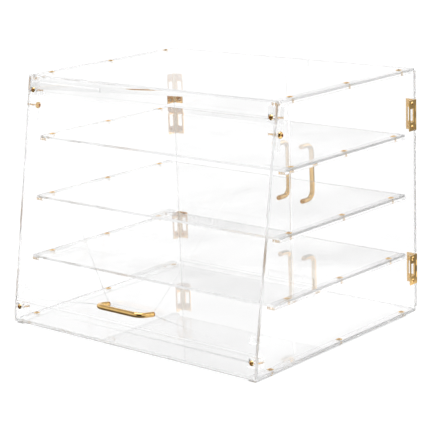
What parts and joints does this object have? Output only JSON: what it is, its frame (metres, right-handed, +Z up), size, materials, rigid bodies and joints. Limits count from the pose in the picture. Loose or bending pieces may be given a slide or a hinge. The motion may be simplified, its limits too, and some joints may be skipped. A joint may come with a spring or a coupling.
{
  "type": "countertop bread display bin",
  "caption": "Clear countertop bread bin with a leaning front, shelves on screwed rails, a lift-up front door and hinged rear doors with brass pulls.",
  "frame": {"origin": "on the counter, under the middle of the bin's footprint with its handles", "axes": "+Z up, -Y towards the leaning front door, +Y towards the rear doors, +X to the right as seen from the front"},
  "size_m": [0.5285, 0.4764, 0.409],
  "materials": {
    "clear_sheet": "clear cast acrylic, polished",
    "brass": "polished",
    "fasteners": "polished",
    "nuts": "zinc plated"
  },
  "bodies": {
    "case": {"base_panel": "clear_sheet", "skid_left": "clear_sheet", "skid_right": "clear_sheet", "side_panel_left": "clear_sheet", "side_panel_right": "clear_sheet", "top_panel": "clear_sheet", "top_rail_left": "clear_sheet", "top_rail_right": "clear_sheet", "shelf_upper": "clear_sheet", "shelf_middle": "clear_sheet", "shelf_lower": "clear_sheet", "shelf_rail_upper_left": "clear_sheet", "shelf_rail_upper_right": "clear_sheet", "shelf_rail_middle_left": "clear_sheet", "shelf_rail_middle_right": "clear_sheet", "shelf_rail_lower_left": "clear_sheet", "shelf_rail_lower_right": "clear_sheet", "panel_screws": "fasteners", "header_strip": "clear_sheet", "header_block_left": "clear_sheet", "header_block_right": "clear_sheet", "kick_strip": "clear_sheet", "kick_block_left": "clear_sheet", "kick_block_right": "clear_sheet", "strip_screws": "fasteners", "strip_nuts": "nuts", "door_stop_left": "clear_sheet", "door_stop_right": "clear_sheet", "pivot_screw_left": "fasteners", "pivot_washer_left": "fasteners", "hinge_side_leaf_upper_left": "brass", "hinge_side_leaf_upper_right": "brass", "hinge_side_leaf_lower_left": "brass", "hinge_side_leaf_lower_right": "brass", "hinge_pins_left": "fasteners", "hinge_pins_right": "fasteners", "hinge_side_screws": "fasteners", "door_strip_top": "clear_sheet", "door_strip_bottom": "clear_sheet"},
    "front_door": {"front_door_panel": "clear_sheet", "pivot_block_left": "clear_sheet", "pivot_block_right": "clear_sheet", "pivot_screw_right": "fasteners", "pivot_washer_right": "fasteners", "front_handle": "brass", "front_handle_screws": "fasteners"},
    "rear_door_left": {"rear_door_panel_left": "clear_sheet", "rear_handle_left": "brass", "rear_handle_screws_left": "fasteners", "hinge_door_leaf_upper_left": "brass", "hinge_door_leaf_lower_left": "brass", "hinge_door_screws_left": "fasteners"},
    "rear_door_right": {"rear_door_panel_right": "clear_sheet", "rear_handle_right": "brass", "rear_handle_screws_right": "fasteners", "hinge_door_leaf_upper_right": "brass", "hinge_door_leaf_lower_right": "brass", "hinge_door_screws_right": "fasteners"}
  },
  "joints": [
    {"name": "front_door_lift", "type": "hinge", "parent": "case", "child": "front_door", "pos_m": [0, -0.14605, 0.35951], "axis": [-1, 0, 0], "range_deg": [0, 110]},
    {"name": "rear_door_left_swing", "type": "hinge", "parent": "case", "child": "rear_door_left", "pos_m": [-0.2604, 0.20488, 0.20505], "axis": [0, 0, 1], "range_deg": [0, 170]},
    {"name": "rear_door_right_swing", "type": "hinge", "parent": "case", "child": "rear_door_right", "pos_m": [0.2604, 0.20488, 0.20505], "axis": [0, 0, -1], "range_deg": [0, 170]}
  ]
}
